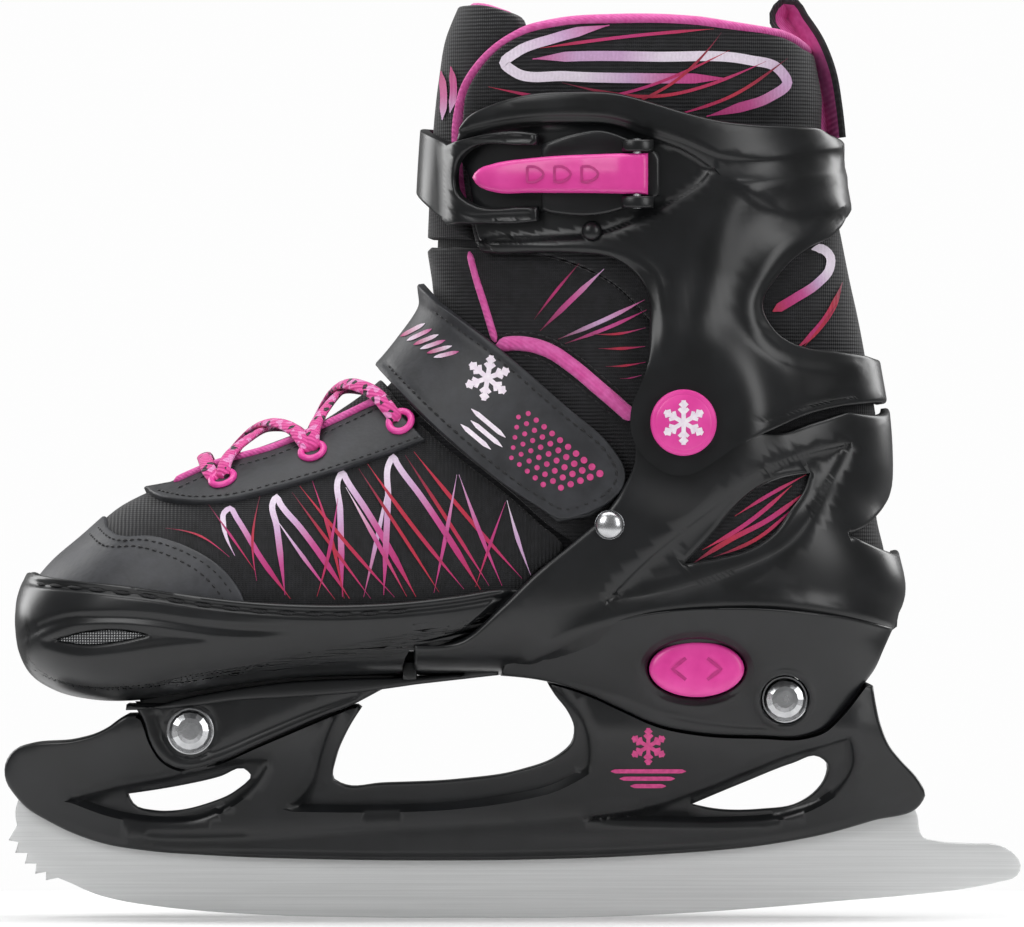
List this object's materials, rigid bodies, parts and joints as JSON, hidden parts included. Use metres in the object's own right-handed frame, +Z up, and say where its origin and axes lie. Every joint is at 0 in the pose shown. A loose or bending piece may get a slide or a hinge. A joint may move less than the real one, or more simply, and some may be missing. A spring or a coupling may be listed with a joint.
{
  "type": "ice skate",
  "caption": "Left soft-boot ice skate with an adjustable toe, hinged cuff, lever buckle and steel blade in a plastic holder.",
  "frame": {"origin": "lowest flat stretch of the blade's edge, in the blade's middle plane", "axes": "+Z up, -X towards the toe, +X towards the heel, -Y the lateral side with the buckle"},
  "size_m": [0.2852, 0.0978, 0.2568],
  "materials": {
    "steel": "brushed",
    "zinc": "bright",
    "black_plastic": "satin",
    "pink_plastic": "semi-gloss",
    "black_fabric": "ribbed",
    "lining": "padded",
    "grey_leather": "matt",
    "pink_lace": "woven",
    "vent_mesh": "woven"
  },
  "bodies": {
    "boot": {"blade": "steel", "blade_holder": "black_plastic", "front_bolt": "zinc", "front_barrel_nut": "zinc", "rear_bolt": "zinc", "rear_barrel_nut": "zinc", "rear_shell": "black_plastic", "inner_boot": "lining", "insole": "lining", "ankle_section": "black_fabric", "strap_anchor_tab": "grey_leather", "instep_strap": "grey_leather", "strap_rivet_lateral": "zinc", "strap_rivet_medial": "zinc", "button_spring": "zinc", "pivot_pin_lateral": "zinc", "pivot_pin_medial": "zinc"},
    "toe_slider": {"toe_cap": "black_plastic", "vent_mesh_lateral": "vent_mesh", "vent_mesh_medial": "vent_mesh", "vamp": "black_fabric", "eyestay_lateral": "grey_leather", "eyestay_medial": "grey_leather", "eyelet_lateral_1": "pink_plastic", "eyelet_lateral_2": "pink_plastic", "eyelet_lateral_3": "pink_plastic", "eyelet_medial_1": "pink_plastic", "eyelet_medial_2": "pink_plastic", "eyelet_medial_3": "pink_plastic", "lace_lateral_1": "pink_lace", "lace_lateral_2": "pink_lace", "lace_medial_1": "pink_lace", "lace_medial_2": "pink_lace", "lace_bar": "pink_lace"},
    "size_button": {"size_button": "pink_plastic"},
    "cuff": {"cuff": "black_plastic", "collar_liner": "black_fabric", "tongue": "black_fabric", "pivot_cap_lateral": "pink_plastic", "pivot_cap_medial": "pink_plastic", "pull_loop": "pink_lace", "buckle_base": "black_plastic", "base_rivet": "zinc", "lever_pin": "zinc"},
    "lever": {"buckle_lever": "pink_plastic"},
    "cuff_strap": {"cuff_strap": "black_plastic", "strap_anchor_rivet": "zinc"},
    "strap_flap": {"strap_flap": "grey_leather"}
  },
  "joints": [
    {"name": "size_slide", "type": "slide", "parent": "boot", "child": "toe_slider", "axis": [-1, 0, 0], "range_m": [0, 0.02]},
    {"name": "size_button_press", "type": "slide", "parent": "boot", "child": "size_button", "axis": [0, 1, 0], "range_m": [0, 0.003], "stiffness_N_per_m": 400, "springref_m": -0.002, "deforming": ["button_spring"]},
    {"name": "cuff_lean", "type": "hinge", "parent": "boot", "child": "cuff", "pos_m": [0.0476, 0, 0.1391], "axis": [0, -1, 0], "range_deg": [0, 7], "deforming": ["ankle_section"]},
    {"name": "lever_swing", "type": "hinge", "parent": "cuff", "child": "lever", "pos_m": [0.0346, -0.04768, 0.2083], "axis": [0, 0, 1], "range_deg": [0, 100]},
    {"name": "cuff_strap_swing", "type": "hinge", "parent": "cuff", "child": "cuff_strap", "pos_m": [0.006, 0.044, 0.206], "axis": [0, 0, -1], "range_deg": [0, 60]},
    {"name": "strap_peel", "type": "hinge", "parent": "boot", "child": "strap_flap", "pos_m": [-0.032, 0, 0.168], "axis": [-0.6654, 0, -0.7465], "range_deg": [0, 65]}
  ]
}
